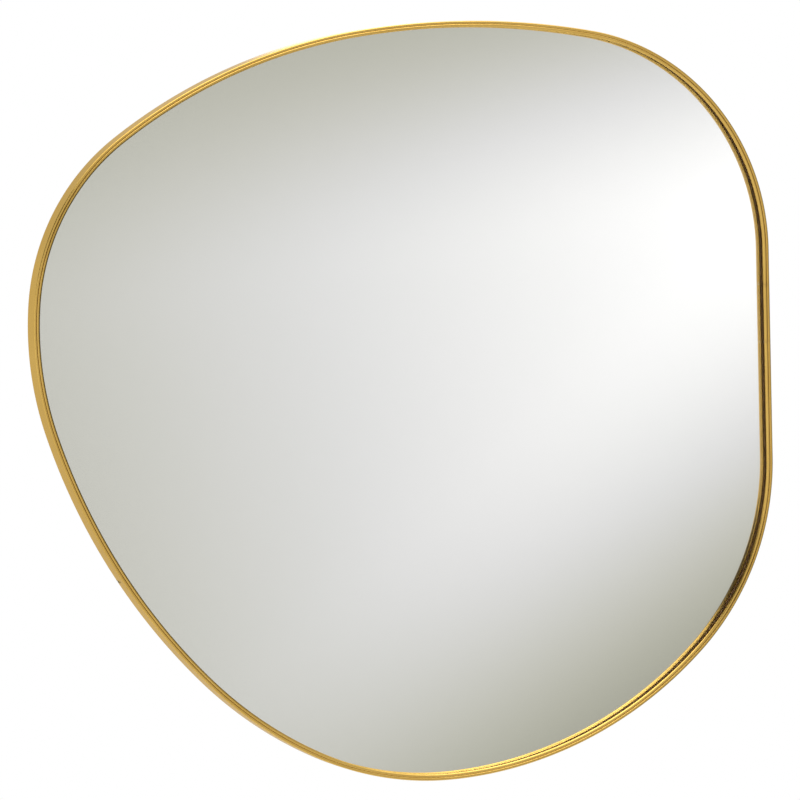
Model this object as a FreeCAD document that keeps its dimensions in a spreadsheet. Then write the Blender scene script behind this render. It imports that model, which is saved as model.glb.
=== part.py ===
import FreeCAD, Part
import math
import os

import Sketcher
from FreeCAD import Placement, Rotation, Vector

# An irregular wall mirror in a thin gold-coloured metal frame, seen from the front along +Y.
# X runs to the right, Z runs up and Y runs into the wall.  The origin lies midway between the two
# hanging keyholes, on the plane of the frame's rear edge, which stands just clear of the wall.
# The frame is a flat strip bent on edge into a hoop (the side band), with a thin bead welded inside
# its front edge.  The glass and its board go in from behind, under the bead.

doc = FreeCAD.newDocument("IrregularMirror")
sheet = doc.addObject("Spreadsheet::Sheet", "Sizes")

# Every size in millimetres or degrees: name, value, meaning.
sizes = [
    ("right_side_x", 379.0, "foot of the straight right side, right of the origin"),
    ("right_side_drop", 303.0, "foot of the straight right side, below the origin"),
    ("right_side_heading", 91.4, "direction of the right side from the X axis, degrees"),
    ("right_side_length", 216.0, "straight stretch of the right side"),
    ("upper_right_radius", 233.0, "corner above the right side"),
    ("upper_right_sweep", 80.0, "degrees turned there"),
    ("top_radius", 814.0, "shallow top"),
    ("top_sweep", 18.0, "degrees turned there"),
    ("upper_left_sweep", 28.0, "long slope down to the left, radius found by closing the outline"),
    ("left_corner_radius", 227.0, "corner at the far left"),
    ("left_corner_sweep", 49.0, "degrees turned there"),
    ("left_side_radius", 333.0, "left side below its corner"),
    ("left_side_sweep", 23.0, "degrees turned there"),
    ("lower_left_sweep", 27.0, "long slope down to the right, radius found by closing the outline"),
    ("lower_bend_radius", 423.0, "bend at the slope's lower end"),
    ("lower_bend_sweep", 19.0, "degrees turned there"),
    ("bottom_left_radius", 312.0, "left part of the bottom"),
    ("bottom_left_sweep", 28.0, "degrees turned there"),
    ("bottom_right_radius", 422.0, "right part of the bottom"),
    ("bottom_right_sweep", 42.0, "degrees turned there"),
    ("lower_right_radius", 274.0, "corner below the right side, which turns what is left of 360"),
    ("band_depth", 22.0, "side band, front edge to rear edge"),
    ("band_wall", 3.0, "side band, thickness of the strip"),
    ("band_outer_round", 1.0, "rounding of the front outer edge"),
    ("band_inner_round", 0.7, "rounding of the front inner edge, half of the fine groove"),
    ("joint_distance", 1566.0, "lower left weld of the band, along the outline from the right side's foot"),
    ("joint_gap", 0.5, "open hairline behind each of the band's two welds"),
    ("joint_depth", 12.0, "length of that hairline from the rear edge"),
    ("bead_width", 3.5, "bead inside the band, across the front"),
    ("bead_height", 4.5, "bead, front to back"),
    ("bead_outer_round", 0.9, "rounding beside the band, the other half of the groove"),
    ("bead_inner_round", 1.2, "front rounding towards the middle of the mirror"),
    ("bead_rear_round", 3.0, "rear rounding towards the glass"),
    ("insert_start", 119.0, "lower seam of the bead's closing piece, along the right side"),
    ("insert_length", 60.0, "closing piece of the bead"),
    ("seam_gap", 0.25, "hairline at each end of the closing piece"),
    ("glass_recess", 7.5, "front edge of the band to the face of the glass"),
    ("glass_thickness", 4.0, "mirror glass"),
    ("glass_gap", 1.5, "edge of the glass to the inside of the band"),
    ("glass_arris", 0.5, "ground arris on both edges of the glass"),
    ("coat_thickness", 0.2, "silvering and its paint on the back of the glass"),
    ("coat_margin", 0.6, "bare rim of the glass outside the silvering"),
    ("tape_thickness", 1.0, "foam tape between the glass and the board"),
    ("tape_width", 25.0, "foam tape"),
    ("tape_spacing", 120.0, "centre to centre of the strips of tape"),
    ("tape_end_margin", 60.0, "end of a strip to the edge of the outline"),
    ("board_thickness", 5.0, "fibreboard behind the glass"),
    ("board_gap", 0.5, "edge of the board to the inside of the band"),
    ("tab_count", 8, "steel tabs round the band that hold the board in"),
    ("tab_first", 40.0, "first tab along the outline"),
    ("tab_steel", 1.5, "thickness of a tab"),
    ("tab_width", 16.0, "tab along the band"),
    ("tab_reach", 22.0, "tab over the board"),
    ("tab_weld_height", 3.8, "leg of the tab that is welded to the band"),
    ("tab_hole_radius", 2.1, "screw hole in a tab"),
    ("tab_hole_reach", 13.0, "screw hole from the inside of the band"),
    ("tab_bend_round", 0.5, "inside of the tab's bend"),
    ("tab_tip_round", 4.0, "corners of the tab's tip"),
    ("screw_radius", 1.7, "shank of every screw"),
    ("screw_head_radius", 3.3, "pan head"),
    ("screw_head_height", 1.9, "pan head"),
    ("screw_grip", 4.0, "length of a screw in the board"),
    ("screw_slot_width", 0.9, "arms of the cross recess"),
    ("screw_slot_length", 3.8, "arms of the cross recess, tip to tip"),
    ("screw_slot_depth", 1.0, "cross recess"),
    ("pilot_clearance", 0.05, "pilot hole in the board round a screw"),
    ("hanger_spacing", 360.0, "between the centres of the two keyholes"),
    ("hanger_steel", 1.2, "thickness of a hanger plate"),
    ("hanger_bridge_width", 30.0, "raised middle of a hanger plate"),
    ("hanger_foot_width", 13.0, "each foot beside the raised middle"),
    ("hanger_above", 16.0, "plate above the centre of the keyhole's round end"),
    ("hanger_below", 9.5, "plate below that centre"),
    ("hanger_bend_round", 0.6, "inside of the plate's bends"),
    ("keyhole_radius", 5.0, "round end of the keyhole, which passes the head of a wall screw"),
    ("keyhole_slot_radius", 2.6, "half the width of the slot, which sits on the screw's shank"),
    ("keyhole_slot_rise", 9.0, "centre of the round end to the centre of the slot's top"),
    ("head_pocket_depth", 2.5, "pocket in the board for the head of a wall screw"),
    ("head_pocket_margin", 2.0, "pocket beyond the keyhole, all round"),
    ("bumper_count", 4, "rubber bumpers on the board"),
    ("bumper_first", 200.0, "first bumper along the outline"),
    ("bumper_inset", 42.0, "centre of a bumper from the outline"),
    ("bumper_radius", 7.0, "bumper"),
    ("bumper_stand_off", 1.0, "bumper behind the band's rear edge, up to the wall"),
    ("bumper_round", 1.2, "rounding of the bumper's rear edge"),
]

for row, (name, value, meaning) in enumerate(sizes, start=1):
    sheet.set("A%d" % row, meaning)
    sheet.set("B%d" % row, str(value))
    sheet.setAlias("B%d" % row, name)
doc.recompute()


def size(name):
    return float(sheet.get(name))


# Depths along Y that several pieces share, as expressions of the sheet.
band_front = "-Sizes.band_depth"
glass_front = "(-Sizes.band_depth + Sizes.glass_recess)"
glass_back = "(%s + Sizes.glass_thickness)" % glass_front
coat_back = "(%s + Sizes.coat_thickness)" % glass_back
board_front = "(%s + Sizes.tape_thickness)" % coat_back
board_back = "(%s + Sizes.board_thickness)" % board_front
board_back_y = (size("glass_recess") + size("glass_thickness") + size("coat_thickness")
                + size("tape_thickness") + size("board_thickness") - size("band_depth"))


# ---- the outline: one straight side and ten arcs, each tangent to the next ----

arcs = [  # name of the arc, and whether its radius is found by closing the outline
    ("upper_right", False), ("top", False), ("upper_left", True), ("left_corner", False),
    ("left_side", False), ("lower_left", True), ("lower_bend", False), ("bottom_left", False),
    ("bottom_right", False), ("lower_right", False),
]


def arc_sweeps():
    """Degrees that each arc turns; the last one turns what is left of a full turn."""
    sweeps = [size(name + "_sweep") for name, solved in arcs[:-1]]
    return sweeps + [360.0 - sum(sweeps)]


def closed_radii(sweeps):
    """The arcs' radii, with the two slopes' radii found so that the outline meets itself."""
    heading = math.radians(size("right_side_heading"))
    length = size("right_side_length")
    gap = Vector(math.cos(heading), math.sin(heading), 0) * length
    steps = []
    for sweep in sweeps:
        ahead = heading + math.radians(sweep)
        steps.append(Vector(math.sin(ahead) - math.sin(heading), math.cos(heading) - math.cos(ahead), 0))
        heading = ahead
    radii = [0.0 if solved else size(name + "_radius") for name, solved in arcs]
    for step, radius in zip(steps, radii):
        gap += step * radius
    first, second = [index for index, (name, solved) in enumerate(arcs) if solved]
    turn = steps[first].cross(steps[second]).z
    radii[first] = -gap.cross(steps[second]).z / turn
    radii[second] = -steps[first].cross(gap).z / turn
    return radii


def draw_outline():
    """The outline's pieces in order, as (start point, heading, length, radius or None)."""
    heading = math.radians(size("right_side_heading"))
    length = size("right_side_length")
    point = Vector(size("right_side_x"), -size("right_side_drop"), 0)
    pieces = [(point, heading, length, None)]
    point = point + Vector(math.cos(heading), math.sin(heading), 0) * length
    sweeps = arc_sweeps()
    for sweep, radius in zip(sweeps, closed_radii(sweeps)):
        pieces.append((point, heading, radius * math.radians(sweep), radius))
        ahead = heading + math.radians(sweep)
        point = point + Vector(math.sin(ahead) - math.sin(heading),
                               math.cos(heading) - math.cos(ahead), 0) * radius
        heading = ahead
    return pieces


outline = draw_outline()
upright = Placement(Vector(0, 0, 0), Rotation(Vector(1, 0, 0), 90))
perimeter = sum(length for point, heading, length, radius in outline)


def along_outline(distance, inset):
    """Point, heading and radius of the outline at a distance from the right side's foot.

    The point is moved inwards by inset, square to the outline."""
    distance %= perimeter
    for point, heading, length, radius in outline:
        if distance <= length:
            break
        distance -= length
    if radius is None:
        point = point + Vector(math.cos(heading), math.sin(heading), 0) * distance
    else:
        ahead = heading + distance / radius
        point = point + Vector(math.sin(ahead) - math.sin(heading),
                               math.cos(heading) - math.cos(ahead), 0) * radius
        heading = ahead
    inward = Vector(-math.sin(heading), math.cos(heading), 0)
    return point + inward * inset, heading, radius


def outline_sketch():
    """The master sketch of the frame's outer edge, in the XZ plane, tied to the sheet."""
    sketch = doc.addObject("Sketcher::SketchObject", "Outline")
    sketch.Placement = upright
    for point, heading, length, radius in outline:
        if radius is None:
            end = point + Vector(math.cos(heading), math.sin(heading), 0) * length
            sketch.addGeometry(Part.LineSegment(point, end))
        else:
            centre = point + Vector(-math.sin(heading), math.cos(heading), 0) * radius
            start = heading - math.pi / 2
            circle = Part.Circle(centre, Vector(0, 0, 1), radius)
            sketch.addGeometry(Part.ArcOfCircle(circle, start, start + length / radius))
    count = len(outline)
    for index in range(count):
        sketch.addConstraint(Sketcher.Constraint("Tangent", index, 2, (index + 1) % count, 1))

    def tie(constraint, name, expression):
        index = sketch.addConstraint(constraint)
        sketch.renameConstraint(index, name)
        sketch.setExpression("Constraints." + name, expression)

    start, heading, length = outline[0][:3]
    tie(Sketcher.Constraint("DistanceX", -1, 1, 0, 1, start.x), "side_x", "Sizes.right_side_x")
    tie(Sketcher.Constraint("DistanceY", 0, 1, -1, 1, -start.y), "side_drop", "Sizes.right_side_drop")
    tie(Sketcher.Constraint("Angle", 0, heading), "side_heading", "Sizes.right_side_heading * 1 deg")
    tie(Sketcher.Constraint("Distance", 0, length), "side_length", "Sizes.right_side_length")
    for index, (name, solved) in enumerate(arcs, start=1):
        radius = outline[index][3]
        sweep = outline[index][2] / radius
        if not solved:
            tie(Sketcher.Constraint("Radius", index, radius), name + "_r", "Sizes.%s_radius" % name)
        if index < len(arcs):
            tie(Sketcher.Constraint("Angle", index, sweep), name + "_turn", "Sizes.%s_sweep * 1 deg" % name)
    return sketch


master = outline_sketch()
doc.recompute()


# ---- helpers for bodies ----

def new_body(label, depth=None):
    """A body, moved along Y to the plane that the expression depth gives."""
    body = doc.addObject("PartDesign::Body", label)
    body.Label = label
    if depth:
        body.setExpression("Placement.Base.y", depth)
    return body


def offset_face(body, name, inset):
    """The outline moved inwards by the expression inset, as a face in the body's own XZ plane."""
    binder = body.newObject("PartDesign::SubShapeBinder", name)
    binder.Relative = False
    binder.Placement = upright
    binder.MakeFace = True
    binder.Support = [(master, ("",))]
    binder.setExpression("Offset", "-(%s)" % inset)
    return binder


def plane_sketch(body, name, role, lift=None):
    """A sketch on one of the body's own planes, lifted along its normal by an expression."""
    plane = [item for item in body.Origin.OriginFeatures if item.Role == role][0]
    sketch = body.newObject("Sketcher::SketchObject", name)
    sketch.AttachmentSupport = [(plane, "")]
    sketch.MapMode = "FlatFace"
    if lift:
        sketch.setExpression("AttachmentOffset.Base.z", lift)
    return sketch


def pad(body, profile, length, rearward=False, midplane=False):
    feature = body.newObject("PartDesign::Pad", profile.Name + "_pad")
    feature.Profile = (profile, [""])
    feature.setExpression("Length", length)
    feature.Reversed = rearward
    feature.Midplane = midplane
    doc.recompute()
    return feature


def pocket(body, profile, length=None):
    """A pocket of a given depth in front of its sketch, or right through; it has to remove something."""
    before = body.Shape.Volume
    feature = body.newObject("PartDesign::Pocket", profile.Name + "_pocket")
    feature.Profile = (profile, [""])
    if length:
        feature.setExpression("Length", length)
        feature.Reversed = True
    else:
        feature.Type = "ThroughAll"
        feature.Midplane = True
    doc.recompute()
    if body.Shape.Volume > before - 1e-6:
        raise RuntimeError(feature.Label + " removes nothing")
    return feature


def fillet(body, base, edges, radius):
    feature = body.newObject("PartDesign::Fillet", base.Name + "_fillet")
    feature.Base = (base, edges)
    feature.setExpression("Radius", radius)
    doc.recompute()
    return feature


def edges_where(shape, test):
    """Names of the edges whose middle point passes the test."""
    names = []
    for number, edge in enumerate(shape.Edges, start=1):
        middle = edge.valueAt((edge.FirstParameter + edge.LastParameter) / 2)
        if test(edge, middle):
            names.append("Edge%d" % number)
    return names


def loop_at(shape, y, inset):
    """Names of the edges of the loop that lies at depth y and at an inset from the outline."""
    def on_loop(edge, middle):
        flat = Part.Vertex(Vector(middle.x, 0, middle.z))
        return abs(middle.y - y) < 1e-4 and abs(master.Shape.distToShape(flat)[0] - inset) < 1e-3

    return edges_where(shape, on_loop)


def polygon(sketch, corners, ties):
    """A closed polygon whose corners are tied by (corner, "X" or "Y", expression) to the origin."""
    count = len(corners)
    for index in range(count):
        start, end = corners[index], corners[(index + 1) % count]
        sketch.addGeometry(Part.LineSegment(Vector(start[0], start[1], 0), Vector(end[0], end[1], 0)))
    for index in range(count):
        sketch.addConstraint(Sketcher.Constraint("Coincident", index, 2, (index + 1) % count, 1))
    for index, axis, expression in ties:
        value = corners[index][0 if axis == "X" else 1]
        number = sketch.addConstraint(Sketcher.Constraint("Distance" + axis, -1, 1, index, 1, value))
        sketch.setExpression("Constraints[%d]" % number, expression)


def rectangle(sketch, left, right, low, high):
    """A rectangle between four expressions, each measured from the sketch's origin."""
    doc.recompute()
    x1, x2, y1, y2 = [float(sheet.evalExpression(text)) for text in (left, right, low, high)]
    polygon(sketch, [(x1, y1), (x2, y1), (x2, y2), (x1, y2)],
            [(0, "X", left), (0, "Y", low), (1, "X", right), (1, "Y", low),
             (2, "X", right), (2, "Y", high), (3, "X", left), (3, "Y", high)])


def circle(sketch, x, y, radius, x_tie=None, y_tie=None):
    """A circle at a point, with its radius, and its centre where given, tied to expressions."""
    value = float(sheet.evalExpression(radius))
    index = sketch.addGeometry(Part.Circle(Vector(x, y, 0), Vector(0, 0, 1), value))
    number = sketch.addConstraint(Sketcher.Constraint("Radius", index, value))
    sketch.setExpression("Constraints[%d]" % number, radius)
    for axis, place, tie in (("X", x, x_tie), ("Y", y, y_tie)):
        number = sketch.addConstraint(Sketcher.Constraint("Distance" + axis, -1, 1, index, 3, place))
        if tie:
            sketch.setExpression("Constraints[%d]" % number, tie)


def outline_placement(distance, inset, y):
    """Placement on the outline: local X along it, local Z inwards, local Y into the wall."""
    point, heading, radius = along_outline(distance, inset)
    return Placement(Vector(point.x, y, point.y), Rotation(Vector(0, -1, 0), math.degrees(heading)))


# ---- frame ----

def side_band():
    """The flat strip on edge, in two lengths that meet face to face at their front.

    One joint is at the lower left, the other lies at the bead's lower seam. Behind, each weld is
    open as a hairline at the rear edge."""
    hoop = new_body("band_hoop", band_front)
    outer = pad(hoop, offset_face(hoop, "band_outside", "0"), "Sizes.band_depth", rearward=True)
    rounded = fillet(hoop, outer, loop_at(outer.Shape, 0, 0),
                     "min(Sizes.band_outer_round; 0.6 * Sizes.band_wall)")
    inner = pocket(hoop, offset_face(hoop, "band_inside", "Sizes.band_wall"))
    fillet(hoop, inner, loop_at(inner.Shape, 0, size("band_wall")),
           "min(Sizes.band_inner_round; 0.3 * Sizes.band_wall)")
    joints = (size("joint_distance"), size("insert_start") - size("seam_gap") / 2)
    slits, zones = [], []
    for number, distance in enumerate(joints, start=1):
        slit = doc.addObject("Part::Box", "weld_hairline_%d" % number)
        slit.setExpression("Length", "Sizes.joint_gap")
        slit.setExpression("Width", "2 * Sizes.joint_depth")
        slit.setExpression("Height", "3 * Sizes.band_wall")
        slit.Placement = outline_placement(distance - size("joint_gap") / 2,
                                           -size("band_wall"), -size("joint_depth"))
        slits.append(slit)
        zone = doc.addObject("Part::Box", "beyond_joint_%d" % number)
        zone.Length, zone.Height = perimeter, 2 * perimeter
        zone.setExpression("Width", "3 * Sizes.band_depth")
        zone.Placement = outline_placement(distance, -perimeter, -2 * size("band_depth"))
        zones.append(zone)
    zones[1].Placement = zones[1].Placement * Placement(Vector(-perimeter, 0, 0), Rotation())
    welds = doc.addObject("Part::MultiFuse", "weld_hairlines")
    welds.Shapes = slits
    strip = doc.addObject("Part::Cut", "strip_hoop")
    strip.Base, strip.Tool = hoop, welds
    below = doc.addObject("Part::MultiCommon", "between_joints")
    below.Shapes = zones
    upper = doc.addObject("Part::Cut", "side_band_upper")
    upper.Base, upper.Tool = strip, below
    lower = doc.addObject("Part::MultiCommon", "side_band_lower")
    lower.Shapes = [strip, below]
    return [upper, lower]


def front_bead():
    """The bead inside the band's front edge: a long piece, and a short one that closes the ring."""
    ring = new_body("bead_ring", band_front)
    outer = pad(ring, offset_face(ring, "bead_outside", "Sizes.band_wall"), "Sizes.bead_height",
                rearward=True)
    edge = fillet(ring, outer, loop_at(outer.Shape, 0, size("band_wall")),
                  "min(Sizes.bead_outer_round; 0.3 * Sizes.bead_width; 0.3 * Sizes.bead_height)")
    inside = offset_face(ring, "bead_inside", "Sizes.band_wall + Sizes.bead_width")
    inner = pocket(ring, inside)
    inset = size("band_wall") + size("bead_width")
    front = fillet(ring, inner, loop_at(inner.Shape, 0, inset),
                   "min(Sizes.bead_inner_round; 0.28 * Sizes.bead_height; 0.6 * Sizes.bead_width)")
    fillet(ring, front, loop_at(front.Shape, size("bead_height"), inset),
           "min(Sizes.bead_rear_round; 0.67 * Sizes.bead_height; 0.87 * Sizes.bead_width)")
    windows = []
    for name, gap in (("insert_window", 0.0), ("long_window", size("seam_gap"))):
        window = doc.addObject("Part::Box", name)
        window.Length = size("insert_length") + 2 * gap
        window.setExpression("Width", "2 * Sizes.bead_height")
        window.setExpression("Height", "3 * (Sizes.band_wall + Sizes.bead_width)")
        front = -size("band_depth") - size("bead_height") / 2
        window.Placement = outline_placement(size("insert_start") - gap, -inset, front)
        windows.append(window)
    insert = doc.addObject("Part::Common", "front_bead_insert")
    insert.Base, insert.Tool = ring, windows[0]
    long_piece = doc.addObject("Part::Cut", "front_bead_long")
    long_piece.Base, long_piece.Tool = ring, windows[1]
    return [long_piece, insert]


# ---- glass, its silvering, the tape and the board ----

def mirror_glass():
    glass = new_body("mirror_glass", glass_front)
    slab = pad(glass, offset_face(glass, "glass_edge", "Sizes.band_wall + Sizes.glass_gap"),
               "Sizes.glass_thickness", rearward=True)
    inset = size("band_wall") + size("glass_gap")
    arris = glass.newObject("PartDesign::Chamfer", "glass_arrises")
    arris.Base = (slab, loop_at(slab.Shape, 0, inset) + loop_at(slab.Shape, size("glass_thickness"), inset))
    arris.setExpression("Size", "min(Sizes.glass_arris; 0.3 * Sizes.glass_thickness)")
    coat = new_body("silver_coat", glass_back)
    inset = "Sizes.band_wall + Sizes.glass_gap + Sizes.glass_arris + Sizes.coat_margin"
    pad(coat, offset_face(coat, "coat_edge", inset), "Sizes.coat_thickness", rearward=True)
    return [glass, coat]


def upright_span(face, x):
    """Lowest and highest point of the outline's face on an upright line."""
    reach = 2 * face.BoundBox.DiagonalLength
    inside = face.common(Part.makeLine(Vector(x, 0, -reach), Vector(x, 0, reach))).BoundBox
    return inside.ZMin, inside.ZMax


def tape_strips():
    """Upright strips of foam tape that hold the glass to the board, shorter near the sides."""
    face = Part.Face(Part.Wire(master.Shape.Edges))
    each_side = int((face.BoundBox.XLength / 2 - size("tape_end_margin")) / size("tape_spacing"))
    strips = []
    for number, step in enumerate(range(-each_side, each_side + 1), start=1):
        left = face.CenterOfMass.x + step * size("tape_spacing") - size("tape_width") / 2
        spans = [upright_span(face, x) for x in (left, left + size("tape_width"))]
        low = max(span[0] for span in spans) + size("tape_end_margin")
        high = min(span[1] for span in spans) - size("tape_end_margin")
        strip = doc.addObject("Part::Box", "tape_strip_%d" % number)
        strip.Placement.Base = Vector(left, 0, low)
        strip.Height = high - low
        strip.setExpression("Length", "Sizes.tape_width")
        strip.setExpression("Width", "Sizes.tape_thickness")
        strip.setExpression("Placement.Base.y", coat_back)
        strips.append(strip)
    return strips


def tab_distances():
    count = int(size("tab_count"))
    return [size("tab_first") + perimeter * number / count for number in range(count)]


def tab_screw_points():
    inset = size("band_wall") + size("tab_hole_reach")
    return [along_outline(distance, inset)[0] for distance in tab_distances()]


def hanger_sides():
    """Each hanger's name, its side, and its X as an expression."""
    return [("hanger_left", -1, "-Sizes.hanger_spacing / 2"), ("hanger_right", 1, "Sizes.hanger_spacing / 2")]


foot_reach = "(Sizes.hanger_bridge_width + Sizes.hanger_foot_width) / 2"
foot_rise = "(Sizes.hanger_above - Sizes.hanger_below) / 2"


def hanger_screw_points():
    reach = (size("hanger_bridge_width") + size("hanger_foot_width")) / 2
    rise = (size("hanger_above") - size("hanger_below")) / 2
    middles = [side * size("hanger_spacing") / 2 for name, side, x in hanger_sides()]
    return [Vector(middle + foot * reach, rise, 0) for middle in middles for foot in (-1, 1)]


def backing_board():
    """The board, with pilot holes for its screws and a pocket behind each keyhole."""
    board = new_body("backing_board", board_front)
    pad(board, offset_face(board, "board_edge", "Sizes.band_wall + Sizes.board_gap"),
        "Sizes.board_thickness", rearward=True)
    holes = plane_sketch(board, "pilot_holes", "XZ_Plane")
    for point in tab_screw_points():
        circle(holes, point.x, point.y, "Sizes.screw_radius + Sizes.pilot_clearance")
    feet = [(x, foot) for name, side, x in hanger_sides() for foot in ("-", "+")]
    for point, (x, foot) in zip(hanger_screw_points(), feet):
        circle(holes, point.x, point.y, "Sizes.screw_radius + Sizes.pilot_clearance",
               "%s %s %s" % (x, foot, foot_reach), foot_rise)
    pocket(board, holes)
    pockets = plane_sketch(board, "head_pockets", "XZ_Plane", "-Sizes.board_thickness")
    half = "(Sizes.keyhole_radius + Sizes.head_pocket_margin)"
    for name, side, x in hanger_sides():
        count = pockets.GeometryCount
        rise = "(Sizes.keyhole_slot_rise + %s)" % half
        shape = [(x + " - " + half, "-" + half), (x + " + " + half, "-" + half),
                 (x + " + " + half, rise), (x + " - " + half, rise)]
        corners = [[float(sheet.evalExpression(text)) for text in corner] for corner in shape]
        for index in range(4):
            start, end = corners[index], corners[(index + 1) % 4]
            pockets.addGeometry(Part.LineSegment(Vector(start[0], start[1], 0), Vector(end[0], end[1], 0)))
        for index in range(4):
            pockets.addConstraint(Sketcher.Constraint("Coincident", count + index, 2,
                                                      count + (index + 1) % 4, 1))
        for index in range(4):
            for axis, place, text in (("X", corners[index][0], shape[index][0]),
                                      ("Y", corners[index][1], shape[index][1])):
                number = pockets.addConstraint(Sketcher.Constraint("Distance" + axis, -1, 1,
                                                                   count + index, 1, place))
                pockets.setExpression("Constraints[%d]" % number, text)
    pocket(board, pockets, "min(Sizes.head_pocket_depth; 0.8 * Sizes.board_thickness)")
    return [board]


# ---- what holds the board in, and what hangs the mirror ----

def fixing_tabs():
    """Bent steel tabs: one leg is welded to the band, the other lies on the board under a screw."""
    tabs = []
    for number, distance in enumerate(tab_distances(), start=1):
        tab = new_body("fixing_tab_%d" % number)
        bend = plane_sketch(tab, "bend", "YZ_Plane")
        steel, reach, weld = size("tab_steel"), size("tab_reach"), size("tab_weld_height")
        polygon(bend, [(0, 0), (weld, 0), (weld, steel), (steel, steel), (steel, reach), (0, reach)],
                [(0, "X", "0"), (0, "Y", "0"),
                 (1, "X", "Sizes.tab_weld_height"), (1, "Y", "0"),
                 (2, "X", "Sizes.tab_weld_height"), (2, "Y", "Sizes.tab_steel"),
                 (3, "X", "Sizes.tab_steel"), (3, "Y", "Sizes.tab_steel"),
                 (4, "X", "Sizes.tab_steel"), (4, "Y", "Sizes.tab_reach"),
                 (5, "X", "0"), (5, "Y", "Sizes.tab_reach")])
        leg = pad(tab, bend, "Sizes.tab_width", midplane=True)
        inside = fillet(tab, leg, edges_where(leg.Shape, lambda edge, middle: abs(middle.y - steel)
                                              + abs(middle.z - steel) < 1e-4), "Sizes.tab_bend_round")
        outside = fillet(tab, inside, edges_where(inside.Shape, lambda edge, middle: abs(middle.y)
                                                  + abs(middle.z) < 1e-4),
                         "Sizes.tab_bend_round + 0.8 * Sizes.tab_steel")
        tip = fillet(tab, outside, edges_where(outside.Shape, lambda edge, middle: abs(middle.z - reach)
                                               < 1e-4 and abs(middle.y - steel / 2) < 1e-4),
                     "min(Sizes.tab_tip_round; 0.4 * Sizes.tab_width)")
        hole = plane_sketch(tab, "screw_hole", "XZ_Plane")
        circle(hole, 0, size("tab_hole_reach"), "Sizes.tab_hole_radius", "0", "Sizes.tab_hole_reach")
        pocket(tab, hole)
        point, heading, radius = along_outline(distance, 0)
        half = size("tab_width") / 2
        inner = (radius or 1e9) - size("band_wall")
        rise = inner - math.sqrt(inner * inner - half * half)
        tab.Placement = outline_placement(distance, size("band_wall") + rise, board_back_y)
        tabs.append(tab)
    return tabs


def screw_shape(through):
    """A pan-head screw with a cross recess, its head's underside at y = 0, through steel first."""
    body = new_body("screw_through_%s" % through)
    profile = plane_sketch(body, "half_section", "XY_Plane")
    length = size(through) + size("screw_grip")
    shank, head, top = size("screw_radius"), size("screw_head_radius"), size("screw_head_height")
    rim = 0.4 * top
    corners = [(0, -length), (0.5 * shank, -length), (shank, -length + 0.7 * shank), (shank, 0),
               (head, 0), (head, rim), (0.7 * head, top), (0, top)]
    grip = "(Sizes.%s + Sizes.screw_grip)" % through
    polygon(profile, corners,
            [(0, "X", "0"), (0, "Y", "-" + grip), (1, "X", "0.5 * Sizes.screw_radius"), (1, "Y", "-" + grip),
             (2, "X", "Sizes.screw_radius"), (2, "Y", "0.7 * Sizes.screw_radius - " + grip),
             (3, "X", "Sizes.screw_radius"), (3, "Y", "0"),
             (4, "X", "Sizes.screw_head_radius"), (4, "Y", "0"),
             (5, "X", "Sizes.screw_head_radius"), (5, "Y", "0.4 * Sizes.screw_head_height"),
             (6, "X", "0.7 * Sizes.screw_head_radius"), (6, "Y", "Sizes.screw_head_height"),
             (7, "X", "0"), (7, "Y", "Sizes.screw_head_height")])
    turned = body.newObject("PartDesign::Revolution", "turned")
    turned.Profile = (profile, [""])
    turned.ReferenceAxis = (profile, ["V_Axis"])
    turned.Angle = 360
    doc.recompute()
    arm, width = "Sizes.screw_slot_length / 2", "Sizes.screw_slot_width / 2"
    for name, across, along in (("recess_level", arm, width), ("recess_upright", width, arm)):
        slot = plane_sketch(body, name, "XZ_Plane", "-Sizes.screw_head_height")
        rectangle(slot, "-" + across, across, "-" + along, along)
        pocket(body, slot, "min(Sizes.screw_slot_depth; 0.6 * Sizes.screw_head_height)")
    return body.Shape


def screw_group(label, through, points):
    """Identical screws, one at each point of the board, as separate solids of one piece."""
    shape = screw_shape(through)
    group = doc.addObject("Part::Feature", label)
    copies = []
    for point in points:
        screw = shape.copy()
        screw.translate(Vector(point.x, board_back_y + size(through), point.y))
        copies.append(screw)
    group.Shape = Part.makeCompound(copies)
    return group


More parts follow.
